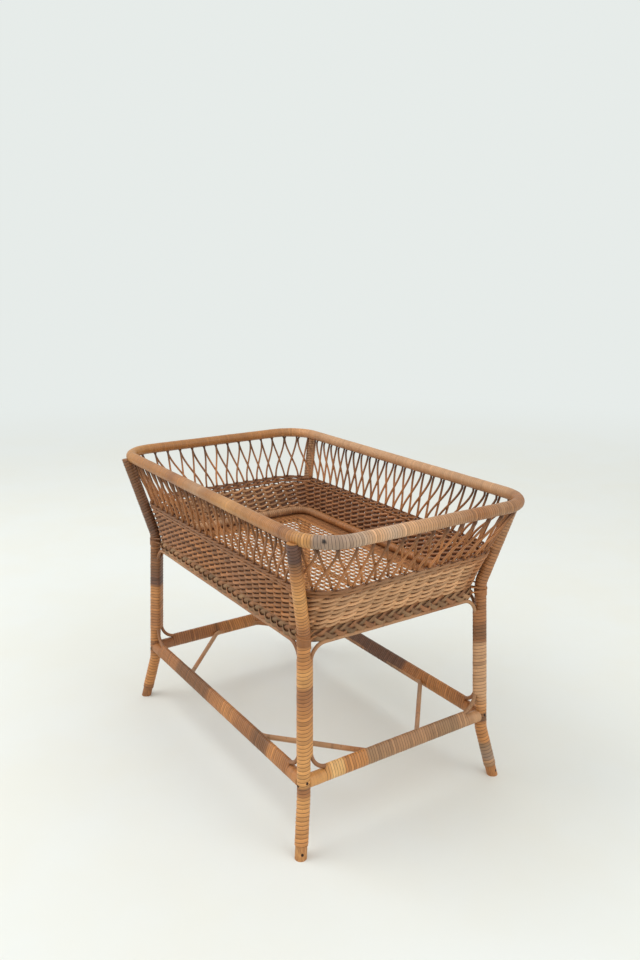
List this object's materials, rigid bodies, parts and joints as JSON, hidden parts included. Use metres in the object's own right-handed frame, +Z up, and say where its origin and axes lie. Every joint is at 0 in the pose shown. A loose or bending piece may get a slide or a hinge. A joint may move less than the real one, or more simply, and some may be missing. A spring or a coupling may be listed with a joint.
{
  "type": "rattan laundry basket",
  "caption": "Round-cornered rattan laundry basket on bent pole legs, with a wrapped rim, an open looped lattice, a woven band and bound stretchers.",
  "frame": {"origin": "on the floor below the centre of the basket", "axes": "+Z up, X along the basket's length, the front long side at -Y"},
  "size_m": [0.999, 0.6166, 0.6431],
  "materials": {
    "pole": "bare rattan pole, worn",
    "cane": "aged glossy cane peel",
    "dark_cane": "aged reddish cane peel",
    "rod": "bare thin rattan, worn",
    "lashing": "split cane, dark",
    "border": "grey-brown plaited reed",
    "bottom": "woven reed",
    "weave": "woven reed, honey brown",
    "edging": "twined reed, dark",
    "reed": "round reed, brown",
    "nail": "dull, rusted"
  },
  "bodies": {
    "root": {"rim_pole": "pole", "rim_binding": "cane", "leg_pole_front_right": "pole", "leg_pole_rear_right": "pole", "leg_pole_rear_left": "pole", "leg_pole_front_left": "pole", "leg_binding_front_right": "cane", "leg_binding_rear_right": "cane", "leg_binding_rear_left": "cane", "leg_binding_front_left": "cane", "stretcher_pole_front": "pole", "stretcher_pole_rear": "pole", "stretcher_pole_left": "pole", "stretcher_pole_right": "pole", "stretcher_binding_front": "cane", "stretcher_binding_rear": "cane", "stretcher_binding_left": "cane", "stretcher_binding_right": "cane", "bow_front": "rod", "bow_rear": "rod", "bow_left": "rod", "bow_right": "rod", "arch_front": "rod", "arch_rear": "rod", "arch_left": "rod", "arch_right": "rod", "brace_front_right": "rod", "brace_rear_right": "rod", "brace_rear_left": "rod", "brace_front_left": "rod", "knee_lashing_front_right": "lashing", "knee_lashing_rear_right": "lashing", "knee_lashing_rear_left": "lashing", "knee_lashing_front_left": "lashing", "plaited_border": "border", "woven_bottom": "bottom", "base_ring_pole": "pole", "base_ring_binding": "dark_cane", "woven_band": "weave", "twined_edging": "edging", "lattice_front": "reed", "lattice_rear": "reed", "lattice_left": "reed", "lattice_right": "reed", "lattice_front_right": "reed", "lattice_rear_right": "reed", "lattice_rear_left": "reed", "lattice_front_left": "reed", "stretcher_nails": "nail", "rim_nails": "nail", "foot_nails": "nail"}
  },
  "joints": []
}
